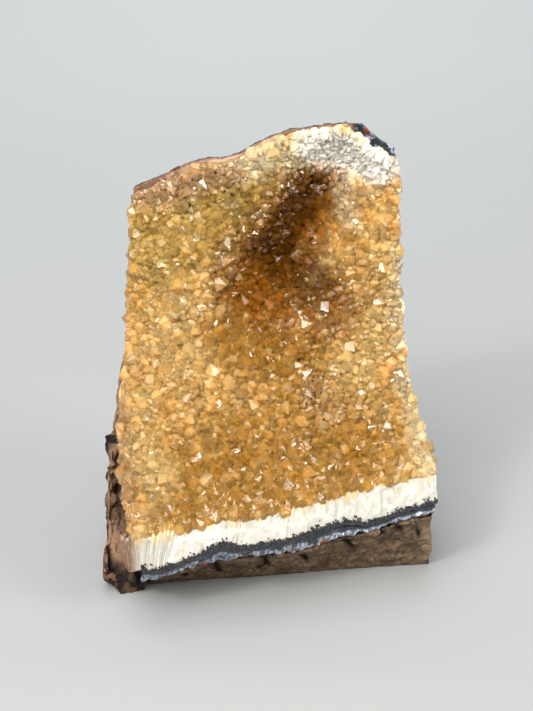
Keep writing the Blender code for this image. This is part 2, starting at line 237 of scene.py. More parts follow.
def bed_grid():
    """The bed of the golden points as a fine grid in millimetres, with its outward directions."""
    lip = resample(BAND_TOP)
    rim = resample(CRYSTAL_RIM)
    rows = [lip]
    for back, up, left, right in FACE_ROWS:
        row = np.zeros_like(lip)
        row[:, 0] = np.linspace(left, right, LINE_POINTS)
        row[:, 1] = lip[:, 1] + back * (rim[:, 1] - lip[:, 1])
        row[:, 2] = lip[:, 2] + up * (rim[:, 2] - lip[:, 2])
        row[:, 1] += hollow_depth(row) + POINT_COVER
        rows.append(row)
    rows.append(rim)
    grid = refine(np.array(rows), BED_ROWS)
    grid = refine(grid.transpose(1, 0, 2), BED_COLUMNS).transpose(1, 0, 2)
    normals = grid_normals(grid)
    for i in range(BED_ROWS):
        for j in range(BED_COLUMNS):
            inner = min(i / BED_ROWS, 1 - i / BED_ROWS, j / BED_COLUMNS, 1 - j / BED_COLUMNS)
            swell = noise.noise(Vector(grid[i, j]) / SWELL_SIZE)
            swell += 0.5 * noise.noise(Vector(grid[i, j]) * 2.6 / SWELL_SIZE)
            swell *= SWELL_HEIGHT * min(1.0, inner / SWELL_EDGE)
            grid[i, j] += normals[i, j] * swell
    return grid, grid_normals(grid)


def grid_normals(grid):
    """The outward direction at every point of a grid of rows from bottom to top."""
    across = np.gradient(grid, axis=1)
    up = np.gradient(grid, axis=0)
    normals = np.cross(across, up)
    return normals / np.linalg.norm(normals, axis=-1, keepdims=True)


def grid_faces(rows, columns):
    """The faces between the points of a grid."""
    faces = []
    for i in range(rows - 1):
        for j in range(columns - 1):
            corner = i * columns + j
            faces.append((corner, corner + 1, corner + columns + 1, corner + columns))
    return faces


def grid_tree(grid):
    """A search tree of a grid's surface."""
    points = [Vector(point) for point in grid.reshape(-1, 3)]
    return BVHTree.FromPolygons(points, grid_faces(*grid.shape[:2]))


def surface_tree(node):
    """A search tree of a CAD node's surface, in millimetres."""
    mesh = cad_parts[node].data
    points = [vert.co / MM for vert in mesh.vertices]
    return BVHTree.FromPolygons(points, [face.vertices[:] for face in mesh.polygons])


def fine_copy(node, name, voxel):
    """A CAD node's mesh, copied into a new object and remeshed finely enough to shape."""
    copy = bpy.data.objects.new(name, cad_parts[node].data.copy())
    bpy.context.scene.collection.objects.link(copy)
    remesh = copy.modifiers.new("Fine", 'REMESH')
    remesh.mode = 'VOXEL'
    remesh.voxel_size = voxel
    depsgraph = bpy.context.evaluated_depsgraph_get()
    fine = bpy.data.meshes.new_from_object(copy.evaluated_get(depsgraph))
    copy.modifiers.clear()
    copy.data = fine
    fine.name = name
    return copy


def mesh_points(mesh):
    """The vertices of a mesh in millimetres, and their normals."""
    points = np.empty(len(mesh.vertices) * 3)
    mesh.vertices.foreach_get("co", points)
    normals = np.empty(len(mesh.vertices) * 3)
    mesh.vertex_normals.foreach_get("vector", normals)
    return points.reshape(-1, 3) / MM, normals.reshape(-1, 3)


def move_points(mesh, points):
    """Puts the vertices of a mesh at these places in millimetres."""
    mesh.vertices.foreach_set("co", (points * MM).ravel())
    mesh.update()


def store(mesh, name, channels):
    """Keeps up to three values of each vertex, which the material reads by this name."""
    values = np.ones((len(mesh.vertices), 4))
    for index, channel in enumerate(channels):
        values[:, index] = channel
    layer = mesh.attributes.new(name, 'FLOAT_COLOR', 'POINT')
    layer.data.foreach_set("color", values.ravel())


def smooth(value, low, high):
    """0 below low, 1 above high, and a soft step between them."""
    share = np.clip((value - low) / (high - low), 0.0, 1.0)
    return share * share * (3 - 2 * share)


def rough(points, size, octaves=3):
    """Layered noise at each point, roughly from -1 to 1."""
    return np.array([noise.fractal(Vector(point) / size, 1.0, 2.1, octaves) for point in points])


def cells(points, size):
    """How far each point is from the middle of its cell, in a pattern of uneven cells."""
    return np.array([noise.voronoi(Vector(point) / size)[0][0] for point in points])


def line_distance(points, line):
    """How far each point is from a line of points."""
    nearest = np.full(len(points), np.inf)
    corners = np.array(line, dtype=float)
    for start, end in zip(corners[:-1], corners[1:]):
        run = end - start
        along = np.clip((points - start) @ run / (run @ run), 0.0, 1.0)
        away = np.linalg.norm(points - start - along[:, None] * run, axis=1)
        nearest = np.minimum(nearest, away)
    return nearest


def fill_inputs(tree, made, inputs):
    """Sets a node's inputs to values, or links them to sockets."""
    for key, value in inputs.items():
        if isinstance(value, bpy.types.NodeSocket):
            tree.links.new(value, made.inputs[key])
        else:
            made.inputs[key].default_value = value


def add_node(tree, kind, inputs=None, **settings):
    """A node with its settings and its inputs."""
    made = tree.nodes.new(kind)
    for name, value in settings.items():
        setattr(made, name, value)
    fill_inputs(tree, made, inputs or {})
    return made


def math_node(tree, operation, *values, clamp=False):
    """The result of a Math node."""
    inputs = dict(enumerate(values))
    return add_node(tree, 'ShaderNodeMath', inputs, operation=operation,
                    use_clamp=clamp).outputs[0]


def vector_node(tree, operation, *values, output="Vector"):
    """The result of a Vector Math node."""
    inputs = dict(enumerate(values))
    return add_node(tree, 'ShaderNodeVectorMath', inputs, operation=operation).outputs[output]


def mix_colour(tree, factor, first, second, blend='MIX'):
    """The result of mixing two colours, each from the settings or from a socket."""
    inputs = {0: factor}
    for key, colour in ((6, first), (7, second)):
        linked = isinstance(colour, bpy.types.NodeSocket)
        inputs[key] = colour if linked else (*colour, 1.0)
    made = add_node(tree, 'ShaderNodeMix', inputs, data_type='RGBA', blend_type=blend)
    return made.outputs[2]


def soft_range(tree, value, low, high, to_low=0.0, to_high=1.0):
    """A value brought softly from one range to another."""
    return add_node(tree, 'ShaderNodeMapRange',
                    {"Value": value, "From Min": low, "From Max": high, "To Min": to_low,
                     "To Max": to_high}, interpolation_type='SMOOTHSTEP').outputs["Result"]


def noise_node(tree, position, scale, detail=3.0, roughness=0.55):
    """A Noise texture's value."""
    return add_node(tree, 'ShaderNodeTexNoise',
                    {"Vector": position, "Scale": scale, "Detail": detail,
                     "Roughness": roughness}).outputs["Fac"]


def new_group(name, inputs, outputs):
    """An empty node group with these sockets."""
    tree = bpy.data.node_groups.new(name, 'ShaderNodeTree')
    for label, kind, value in inputs:
        socket = tree.interface.new_socket(name=label, in_out='INPUT', socket_type=kind)
        if value is not None:
            socket.default_value = value
    for label, kind in outputs:
        tree.interface.new_socket(name=label, in_out='OUTPUT', socket_type=kind)
    entry = tree.nodes.new('NodeGroupInput')
    leave = tree.nodes.new('NodeGroupOutput')
    return tree, entry.outputs, leave.inputs


def use_group(tree, name, inputs):
    """The result of a node group placed with its own values."""
    made = tree.nodes.new('ShaderNodeGroup')
    made.node_tree = bpy.data.node_groups[name]
    fill_inputs(tree, made, inputs)
    return made.outputs[0]


def streak_group():
    """Soft streak: a ragged-edged mask along a line between two places."""
    tree, given, out = new_group(
        "Soft streak",
        [("Position", 'NodeSocketVector', None), ("Start", 'NodeSocketVector', (0, 0, 0)),
         ("End", 'NodeSocketVector', (0, 0, 0.01)), ("Radius", 'NodeSocketFloat', 0.005),
         ("Ragged", 'NodeSocketFloat', 0.004)],
        [("Mask", 'NodeSocketFloat')])
    offset = vector_node(tree, 'SUBTRACT', given["Position"], given["Start"])
    run = vector_node(tree, 'SUBTRACT', given["End"], given["Start"])
    across = vector_node(tree, 'DOT_PRODUCT', offset, run, output="Value")
    length = vector_node(tree, 'DOT_PRODUCT', run, run, output="Value")
    along = math_node(tree, 'DIVIDE', across, length, clamp=True)
    near = add_node(tree, 'ShaderNodeVectorMath', {0: run, "Scale": along},
                    operation='SCALE').outputs["Vector"]
    away = vector_node(tree, 'DISTANCE', offset, near, output="Value")
    edge = math_node(tree, 'SUBTRACT', noise_node(tree, given["Position"], 160.0, 4.0), 0.5)
    away = math_node(tree, 'ADD', away, math_node(tree, 'MULTIPLY', edge, given["Ragged"]))
    outer = math_node(tree, 'MULTIPLY', given["Radius"], 1.45)
    inner = math_node(tree, 'MULTIPLY', given["Radius"], 0.35)
    tree.links.new(soft_range(tree, away, outer, inner), out["Mask"])


def speck_group():
    """Dark specks: small scattered dots of uneven size."""
    tree, given, out = new_group(
        "Dark specks",
        [("Position", 'NodeSocketVector', None), ("Scale", 'NodeSocketFloat', 900.0),
         ("Amount", 'NodeSocketFloat', 0.3)],
        [("Mask", 'NodeSocketFloat')])
    cells = add_node(tree, 'ShaderNodeTexVoronoi',
                     {"Vector": given["Position"], "Scale": given["Scale"]})
    patches = noise_node(tree, given["Position"], 210.0, 2.0)
    reach = math_node(tree, 'MULTIPLY', given["Amount"], soft_range(tree, patches, 0.42, 0.7))
    inner = math_node(tree, 'MULTIPLY', reach, 0.6)
    tree.links.new(soft_range(tree, cells.outputs["Distance"], reach, inner), out["Mask"])


def grain_group():
    """Mineral grain: fine uneven tone from 0 to 1."""
    tree, given, out = new_group(
        "Mineral grain",
        [("Position", 'NodeSocketVector', None), ("Scale", 'NodeSocketFloat', 300.0),
         ("Contrast", 'NodeSocketFloat', 1.0)],
        [("Tone", 'NodeSocketFloat')])
    coarse = noise_node(tree, given["Position"], given["Scale"], 5.0, 0.65)
    offset = math_node(tree, 'SUBTRACT', coarse, 0.5)
    tone = math_node(tree, 'MULTIPLY_ADD', offset, given["Contrast"], 0.5, clamp=True)
    tree.links.new(tone, out["Tone"])


def streak(tree, position, start, end, radius, ragged):
    """A soft streak with its measures in millimetres."""
    return use_group(tree, "Soft streak", {
        "Position": position, "Start": [value * MM for value in start],
        "End": [value * MM for value in end], "Radius": radius * MM, "Ragged": ragged * MM})


def grain(tree, position, scale, contrast):
    """Mineral grain of this scale and contrast."""
    return use_group(tree, "Mineral grain",
                     {"Position": position, "Scale": scale, "Contrast": contrast})


def product(tree, first, second):
    """Two masks, or a mask and its strength, multiplied."""
    return math_node(tree, 'MULTIPLY', first, second)


def lay_over(tree, colour, mask, over, strength):
    """A colour with another one laid over it where the mask is."""
    return mix_colour(tree, product(tree, mask, strength), colour, over)


def toned(tree, colour, value, darkest, lightest):
    """A colour made darker or lighter by a value from 0 to 1."""
    tone = soft_range(tree, value, 0.0, 1.0, darkest, lightest)
    grey = add_node(tree, 'ShaderNodeCombineColor', {0: tone, 1: tone, 2: tone}).outputs[0]
    return mix_colour(tree, 1.0, colour, grey, 'MULTIPLY')


def without_depth(tree, position):
    """A place with its depth taken out, for zones that are given in x and z."""
    return vector_node(tree, 'MULTIPLY', position, (1.0, 0.0, 1.0))


def upright(tree, position, squeeze):
    """A place squeezed in height, so that a pattern on it is drawn out upward."""
    return vector_node(tree, 'MULTIPLY', position, (1.0, 1.0, squeeze))


def clay_colour(tree, position, settings):
    """The blotched clay stain of the crust's left end."""
    blots = grain(tree, position, 380.0, 3.2)
    return mix_colour(tree, blots, settings.burnt, settings.stained)


def druse_group(settings):
    """Druse colour: the golden druse's colour at a place, zone by zone, and painted shade in the
    hollow.
    """
    tree, given, out = new_group("Druse colour", [("Position", 'NodeSocketVector', None)],
                                 [("Color", 'NodeSocketColor')])
    position = given["Position"]
    flat = without_depth(tree, position)
    clouds = soft_range(tree, noise_node(tree, position, 75.0), 0.38, 0.68)
    colour = lay_over(tree, settings.golden, clouds, settings.honey, 0.6)
    swirls = noise_node(tree, position, 260.0, 5.0, 0.65)
    light = soft_range(tree, swirls, 0.50, 0.66)
    colour = lay_over(tree, colour, light, settings.pale, 0.65)
    dark = soft_range(tree, swirls, 0.47, 0.34)
    colour = lay_over(tree, colour, dark, settings.caramel, 0.6)
    for start, end, radius, name, strength in DRUSE_ZONES:
        mask = streak(tree, flat, (start[0], 0, start[1]), (end[0], 0, end[1]), radius,
                      radius * 1.3)
        colour = lay_over(tree, colour, mask, getattr(settings, name), strength)
    tree.links.new(colour, out["Color"])


def new_material(name):
    """A material with its tree, its shader, and the object's own position."""
    material = bpy.data.materials.new(name)
    material.use_nodes = True
    tree = material.node_tree
    shader = tree.nodes["Principled BSDF"]
    position = tree.nodes.new('ShaderNodeTexCoord').outputs["Object"]
    return material, tree, shader, position


def stored(tree, name):
    """The three values that a mesh keeps under this name."""
    source = add_node(tree, 'ShaderNodeAttribute', attribute_name=name)
    return add_node(tree, 'ShaderNodeSeparateColor', {0: source.outputs["Color"]}).outputs


def axes_of(tree, position):
    """The x, y and z of a place."""
    return add_node(tree, 'ShaderNodeSeparateXYZ', {0: position}).outputs


def add_bump(tree, shader, height, strength, distance):
    """Fine relief of a finish."""
    bump = add_node(tree, 'ShaderNodeBump', {"Height": height, "Strength": strength,
                                             "Distance": distance})
    tree.links.new(bump.outputs["Normal"], shader.inputs["Normal"])


def make_milky(shader, weight, reach):
    """Milky quartz: light scatters a little below its surface."""
    shader.inputs["IOR"].default_value = QUARTZ_IOR
    shader.inputs["Subsurface Weight"].default_value = weight
    shader.inputs["Subsurface Radius"].default_value = reach
    shader.inputs["Subsurface Scale"].default_value = 1.0


def finish_piece(piece, node, material):
    """Gives a piece its material and its body, and hides the CAD node it stands for."""
    piece.data.materials.clear()
    piece.data.materials.append(material)
    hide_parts(node)
    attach(piece, "root")


def closed_prisms(crystals):
    """Vertices and faces of six-sided crystals with pointed tips, and where on each a vertex is."""
    points = []
    faces = []
    rise = []
    for crystal in crystals:
        spin = crystal.axis.to_track_quat('Z', 'Y').to_matrix()
        spin = spin @ Matrix.Rotation(crystal.turn, 3, 'Z')
        first = len(points)
        ring = []
        for k in range(6):
            x = crystal.radius * math.cos(k * math.pi / 3)
            y = crystal.radius * crystal.flatness * math.sin(k * math.pi / 3)
            ring.append(Vector((x, y, 0.0)))
        for corner in ring:
            points.append(crystal.base + spin @ (corner + Vector((0, 0, -crystal.root))))
            rise.append(0.0)
        for corner, step in zip(ring, crystal.steps):
            up = Vector((0, 0, crystal.shoulder + step))
            points.append(crystal.base + spin @ (corner + up))
            rise.append(0.6)
        points.append(crystal.base + spin @ Vector((*crystal.shift, crystal.tip)))
        rise.append(1.0)
        faces.append([first + k for k in reversed(range(6))])
        for k in range(6):
            after = (k + 1) % 6
            faces.append([first + k, first + after, first + 6 + after, first + 6 + k])
            faces.append([first + 6 + k, first + 6 + after, first + 12])
    return points, faces, np.array(rise)


def crystal_piece(name, crystals, tones):
    """One object made of many crystals, each with its own tones."""
    points, faces, rise = closed_prisms(crystals)
    mesh = bpy.data.meshes.new(name)
    mesh.from_pydata([point * MM for point in points], [], faces)
    per_crystal = len(points) // len(crystals)
    first, second = np.repeat(np.array(tones), per_crystal, axis=0).T
    store(mesh, "growth", [first, rise, second])
    piece = bpy.data.objects.new(name, mesh)
    bpy.context.scene.collection.objects.link(piece)
    return piece


def line_point(line, share):
    """The point at a share of a line's length."""
    steps = np.linalg.norm(np.diff(line, axis=0), axis=1)
    along = np.concatenate([[0.0], np.cumsum(steps)])
    return Vector([np.interp(share * along[-1], along, line[:, axis]) for axis in range(3)])


def line_run(line, share):
    """Which way a line runs at a share of its length."""
    return line_point(line, share + 0.01) - line_point(line, share - 0.01)


def random_vector(rng, spread):
    """A vector of random length and direction."""
    return Vector([rng.gauss(0, spread) for _ in range(3)])


def grid_sample(grid, normals, column, row):
    """A point of the bed and its outward direction, between grid points."""
    j = int(column)
    i = int(row)
    u = column - j
    v = row - i
    low = grid[i, j] * (1 - u) + grid[i, j + 1] * u
    high = grid[i + 1, j] * (1 - u) + grid[i + 1, j + 1] * u
    return Vector(low * (1 - v) + high * v), Vector(normals[i, j]).normalized()


def crowded(taken, key, base, radius, room):
    """Whether a crystal would stand too close to one that is there already."""
    for step in itertools.product((-1, 0, 1), repeat=3):
        beside = (key[0] + step[0], key[1] + step[1], key[2] + step[2])
        for other, size in taken.get(beside, ()):
            if (base - other).length < (radius + size) * room:
                return True
    return False


def hill(base, x, z, width, height):
    """1 at a place of the druse, and softly down to 0 away from it."""
    return math.exp(-(((base.x - x) / width) ** 2 + ((base.z - z) / height) ** 2))


def colour_property(name, description, default):
    """A colour that a user may change."""
    return FloatVectorProperty(name=name, description=description, default=default,
                               subtype='COLOR', size=3, min=0.0, max=1.0)


def length_property(name, description, default):
    """A length that a user may change."""
    return FloatProperty(name=name, description=description, default=default, unit='LENGTH',
                         min=0.0, precision=4)


def power_property(name, description, default):
    """A lamp's power that a user may change."""
    return FloatProperty(name=name, description=description, default=default, unit='POWER')


def count_property(name, description, default):
    """A number of things that a user may change."""
    return IntProperty(name=name, description=description, default=default, min=1)


class RockSettings(bpy.types.PropertyGroup):
    """Sizes and colours of the basalt."""
    voxel: length_property("Detail", "Size of the smallest facets of the rock", 0.0009)
    lumps: length_property("Lumps", "Height of the rock's broken lumps", 0.0013)
    chips: length_property("Chips", "Depth of the rock's chipped facets", 0.0014)
    grit: length_property("Grit", "Height of the rock's fine grit", 0.0005)
    brown: colour_property("Brown", "Fresh brown basalt", (0.208, 0.143, 0.084))
    # Shade is also laid into the low parts of the lumps, as painted shade.
    shade: colour_property("Shade", "Darker basalt between the grains", (0.058, 0.038, 0.022))
    weathered: colour_property("Weathered", "Pinkish weathered side", (0.28, 0.160, 0.095))
    # Broken is painted light: the lighter colour of the chipped right edge's lit facet.
    broken: colour_property("Broken", "Freshly broken right edge", (0.255, 0.175, 0.105))
    rust: colour_property("Rust", "Iron stain", (0.085, 0.028, 0.013))
    # The crevice black is painted shade in the deep cracks and at the left foot.
    crevice_shade: colour_property("Crevice", "Black of the deep cracks", (0.012, 0.008, 0.007))


class AgateSettings(bpy.types.PropertyGroup):
    """Sizes and colours of the agate rind."""
    voxel: length_property("Detail", "Size of the smallest facets of the agate", 0.0008)
    beads: length_property("Beads", "Height of the pale rounded beads", 0.0010)
    dots: count_property("Dots", "How many mossy dots there are", 1700)
    dot_size: length_property("Dot size", "Width of the widest mossy dot", 0.0009)
    slate: colour_property("Slate", "Dark blue-grey agate", (0.022, 0.032, 0.040))
    black: colour_property("Black", "Mossy dots and the outer line", (0.010, 0.008, 0.007))
    grey: colour_property("Grey", "Lighter grey between the dark bands", (0.085, 0.105, 0.125))
    pale: colour_property("Pale", "Pale chalcedony at the rock", (0.46, 0.49, 0.60))
    clay: colour_property("Clay", "Peach rim above the golden points", (0.40, 0.235, 0.135))
    brown: colour_property("Brown", "Brown rim above the golden points", (0.14, 0.062, 0.028))
    gold: colour_property("Gold", "Thin golden line at the quartz", (0.50, 0.29, 0.08))
    rust: colour_property("Rust", "Iron stain", (0.20, 0.05, 0.015))


class QuartzSettings(bpy.types.PropertyGroup):
    """Sizes and colours of the milky quartz."""
    voxel: length_property("Detail", "Size of the smallest facets of the crust", 0.0009)
    milk: colour_property("Milk", "White quartz", (0.44, 0.425, 0.375))
    cream: colour_property("Cream", "Warm seams in the white quartz", (0.52, 0.38, 0.21))
    # This shade is painted shade: it darkens and warms the bed in the gaps between the points.
    shade: colour_property("Shade", "What the gaps between the points take on",
                           (0.98, 0.62, 0.22))
    honey: colour_property("Honey", "Tips of the white columns", (0.62, 0.42, 0.17))
    tan: colour_property("Tan", "Broken sides of the crust", (0.34, 0.19, 0.09))
    stained: colour_property("Stained", "Clay-stained left end", (0.34, 0.200, 0.115))
    burnt: colour_property("Burnt", "Dark spots of the stained end", (0.085, 0.036, 0.018))
    columns: count_property("Columns", "How many white columns the band has", 900)
    column_width: length_property("Column width", "Width of the widest column", 0.0020)
    tooth: length_property("Teeth", "How far the tallest column passes the band's top", 0.0016)


class PointSettings(bpy.types.PropertyGroup):
    """Sizes and colours of the golden points."""
    largest: length_property("Largest", "Radius of the largest points", 0.0029)
    smallest: length_property("Smallest", "Radius of the smallest points", 0.0009)
    tallest: length_property("Tallest", "How far the tallest tip stands above the bed", 0.0042)
    lean: FloatProperty(name="Lean", description="How far a point leans from the bed's direction",
                        default=math.radians(24.0), subtype='ANGLE')
    clearness: FloatProperty(name="Clearness", default=0.66, min=0.0, max=1.0,
                             description="How clear the golden points are")
    depth_of_colour: FloatProperty(name="Depth of colour", default=60.0, min=0.0,
                                   description="How strongly the crystal takes up light")
    inside: colour_property("Inside", "What the light keeps inside a point", (0.93, 0.68, 0.28))
    golden: colour_property("Golden", "Most of the druse", (0.96, 0.58, 0.16))
    honey: colour_property("Honey", "Bright yellow clouds", (0.98, 0.70, 0.27))
    caramel: colour_property("Caramel", "Brownish druse", (0.63, 0.325, 0.045))
    olive: colour_property("Olive", "Greenish yellow druse", (0.72, 0.49, 0.13))
    moss: colour_property("Moss", "Darker olive beside the hollow", (0.60, 0.38, 0.085))
    # Amber is partly painted shade: the hollow's deeper amber, darkened as its shade.
    amber_and_shade: colour_property("Amber", "Inside of the hollow", (0.43, 0.155, 0.006))
    # Deep is painted shade: the darkest part of the hollow, under its overhang.
    deep_shade: colour_property("Deep", "Darkest part of the hollow", (0.155, 0.052, 0.002))
    pale: colour_property("Pale", "Washed-out edges", (0.97, 0.84, 0.52))
    snow: colour_property("Snow", "Nearly white druse", (0.78, 0.75, 0.67))
    tan: colour_property("Tan", "Clay-coloured druse", (0.66, 0.42, 0.21))
    speck: colour_property("Speck", "Small dark specks in the druse", (0.05, 0.02, 0.01))


class StageSettings(bpy.types.PropertyGroup):
    """Floor, lights and camera."""
    floor: colour_property("Floor", "Plain pale floor", (0.31, 0.32, 0.32))
    key: power_property("Key", "Power of the main light", 5.5)
    window: power_property("Window", "Power of the large soft light", 25.0)
    backdrop: power_property("Backdrop", "Power of the light behind the stone", 36.0)
    side: power_property("Side", "Power of the light from the right", 7.6)
    top: power_property("Top", "Power of the light from above", 6.4)
    sky: FloatProperty(name="Sky", description="Strength of the light from all sides",
                       default=0.22)
    lens: FloatProperty(name="Lens", description="Focal length of the camera", default=86.6,
                        unit='CAMERA')


class CITRINE_OT_basalt(bpy.types.Operator):
    """Shape and colour the basalt"""
    bl_idname = "citrine.basalt"
    bl_label = "Basalt"

    def execute(self, context):
        settings = context.scene.citrine_rock
        lump_spacing = 8.0
        chip_spacing = 4.5
        grit_spacing = 1.9
        furthest_out = 0.6
        past_box = 0.8
        piece = fine_copy("basalt_matrix", "rough_basalt", settings.voxel)
        points, normals = mesh_points(piece.data)
        lumps = rough(points, lump_spacing, 4)
        grit = rough(points, grit_spacing, 3)
        backward = smooth(normals[:, 1], -0.3, 0.4)
        height = lumps * settings.lumps / MM * (0.6 + 0.4 * backward)
        height += grit * settings.grit / MM
        height += (0.4 - cells(points, chip_spacing)) * settings.chips / MM
        sunk = np.zeros(len(points))
        for line, width, depth in CREVICES:
            share = np.clip(1 - line_distance(points, line) / width, 0.0, 1.0)
            height -= depth * np.sqrt(share)
            sunk = np.maximum(sunk, share)
        # The sawn base stays flat, and nothing leaves the part's box by much.
        free = smooth(points[:, 2], 0.3, 2.5)
        moved = points + normals * (np.minimum(height, furthest_out) * free)[:, None]
        moved[:, 2] = np.maximum(moved[:, 2], 0.0)
        low = np.array(CAD_BOX[0]) / MM - past_box * free[:, None]
        high = np.array(CAD_BOX[1]) / MM + past_box
        move_points(piece.data, np.clip(moved, low, high))
        store(piece.data, "relief", [smooth(lumps, -0.5, 0.5), smooth(grit, -0.6, 0.6), sunk])
        finish_piece(piece, "basalt_matrix", self.material(settings))
        return {'FINISHED'}

    def material(self, settings):
        """Matte brown rock, pinkish and rusty on its weathered left side, with painted shade and
        light.
        """
        material, tree, shader, position = new_material("Rough basalt")
        lumps, grit, sunk = stored(tree, "relief")
        fine = grain(tree, position, 700.0, 4.0)
        patches = grain(tree, position, 90.0, 2.6)
        colour = mix_colour(tree, fine, settings.shade, settings.brown)
        bright = soft_range(tree, patches, 0.35, 0.8)
        colour = lay_over(tree, colour, bright, settings.weathered, 0.28)
        side = product(tree, streak(tree, position, *WEATHERED_SIDE),
                       soft_range(tree, patches, 0.1, 0.6, 0.55, 1.0))
        colour = mix_colour(tree, side, colour, settings.weathered)
        # Painted light on the chipped right edge's lit facet.
        edge = streak(tree, position, *BROKEN_LIT_EDGE)
        colour = lay_over(tree, colour, edge, settings.broken, 0.7)
        for stain in RUST_STAINS:
            colour = lay_over(tree, colour, streak(tree, position, *stain), settings.rust, 0.85)
        # Painted shade at the left foot, patchy with the grit.
        foot_shade = product(tree, streak(tree, position, *FOOT_SHADE),
                      soft_range(tree, grit, 0.80, 0.45))
        colour = mix_colour(tree, foot_shade, colour, settings.crevice_shade)
        # Painted shade in the low parts of the lumps.
        lump_shade = soft_range(tree, lumps, 0.45, 0.0)
        colour = lay_over(tree, colour, lump_shade, settings.shade, 0.55)
        # Painted shade: the deep cracks nearly black.
        deep_shade = soft_range(tree, sunk, 0.05, 0.55)
        colour = mix_colour(tree, deep_shade, colour, settings.crevice_shade)
        tree.links.new(colour, shader.inputs["Base Color"])
        tree.links.new(soft_range(tree, fine, 0.0, 1.0, 0.95, 0.78), shader.inputs["Roughness"])
        shader.inputs["Specular IOR Level"].default_value = 0.25
        pits = grain(tree, position, 1500.0, 1.5)
        add_bump(tree, shader, math_node(tree, 'ADD', fine, pits), 0.6, 0.0004)
        return material


class CITRINE_OT_agate(bpy.types.Operator):
    """Shape and colour the agate rind"""
    bl_idname = "citrine.agate"
    bl_label = "Agate"

    def execute(self, context):
        settings = context.scene.citrine_agate
        wobble_spacing = 3.2
        bead_spacing = 2.8
        groove = 0.5
        wobble_height = 0.25
        piece = fine_copy("agate_rind", "banded_agate", settings.voxel)
        points, normals = mesh_points(piece.data)
        crust = surface_tree("citrine_crystals")
        rock = surface_tree("basalt_matrix")
        # 0 where the rind meets the quartz, and 1 where it meets the rock.
        share = np.empty(len(points))
        for index, point in enumerate(points):
            to_crust = crust.find_nearest(Vector(point))[3]
            to_rock = rock.find_nearest(Vector(point))[3]
            share[index] = to_crust / (to_crust + to_rock)
        wobble = rough(points, wobble_spacing, 3)
        beads = cells(points, bead_spacing)
        nodules = smooth(share, 0.40, 0.6) * smooth(points[:, 2], 75.0, 60.0)
        height = (0.45 - beads) * nodules * 2 * settings.beads / MM
        height -= groove * smooth(share, 0.25, 0.45) * (1 - smooth(share, 0.45, 0.6))
        height += wobble_height * wobble
        front = smooth(-normals[:, 1], -0.2, 0.5) + smooth(normals[:, 2], 0.3, 0.8)
        move_points(piece.data, points + normals * (height * np.clip(front, 0.25, 1.0))[:, None])
        store(piece.data, "layer", [share, smooth(wobble, -0.7, 0.7), beads])
        finish_piece(piece, "agate_rind", self.material(settings))
        return {'FINISHED'}

    def material(self, settings):
        """Dark slate agate with mossy dots at the quartz and pale beads at the rock."""
        material, tree, shader, position = new_material("Banded agate")
        layer = stored(tree, "layer")[0]
        fine = noise_node(tree, upright(tree, position, 0.35), 900.0)
        broad = noise_node(tree, position, 130.0)
        share = self.shaken(tree, layer, fine, 0.28)
        border = self.shaken(tree, share, noise_node(tree, position, 260.0, 2.0), 0.9)
        colour = mix_colour(tree, soft_range(tree, broad, 0.45, 0.75), settings.slate,
                            settings.grey)
        moss = product(tree, soft_range(tree, noise_node(tree, position, 1300.0), 0.47, 0.56),
                       soft_range(tree, share, 0.42, 0.12))
        colour = mix_colour(tree, moss, colour, settings.black)
        colour = mix_colour(tree, soft_range(tree, share, 0.05, -0.02), colour, settings.gold)
        stripes = noise_node(tree, upright(tree, position, 0.2), 1100.0, 2.0)
        pale = mix_colour(tree, soft_range(tree, stripes, 0.35, 0.65), settings.grey,
                          settings.pale)
        mask = product(tree, soft_range(tree, border, 0.46, 0.54),
                       soft_range(tree, broad, 0.36, 0.44))
        colour = mix_colour(tree, mask, colour, pale)
        rusty = product(tree, soft_range(tree, noise_node(tree, position, 190.0, 4.0), 0.53, 0.62),
                        soft_range(tree, share, 0.60, 0.85))
        colour = mix_colour(tree, rusty, colour, settings.rust)
        # The rim above the golden points, up to the dark right corner.
        baked = mix_colour(tree, soft_range(tree, broad, 0.40, 0.62), settings.clay,
                           settings.brown)
        baked = mix_colour(tree, soft_range(tree, share, 0.42, 0.55), baked, settings.brown)
        baked = mix_colour(tree, soft_range(tree, share, 0.56, 0.68), baked, settings.black)
        axes = axes_of(tree, position)
        upper = product(tree, soft_range(tree, axes[2], 0.085, 0.100),
                        soft_range(tree, axes[0], 0.0275, 0.0250))
        colour = mix_colour(tree, upper, colour, baked)
        colour = mix_colour(tree, streak(tree, position, *RUSTY_SPOT), colour, settings.rust)
        tree.links.new(colour, shader.inputs["Base Color"])
        tree.links.new(soft_range(tree, fine, 0.3, 0.7, 0.25, 0.55), shader.inputs["Roughness"])
        add_bump(tree, shader, fine, 0.35, 0.0004)
        return material

    def shaken(self, tree, value, pattern, amount):
        """A value moved up and down by a pattern from 0 to 1."""
        offset = math_node(tree, 'SUBTRACT', pattern, 0.5)
        return math_node(tree, 'ADD', value, product(tree, offset, amount))


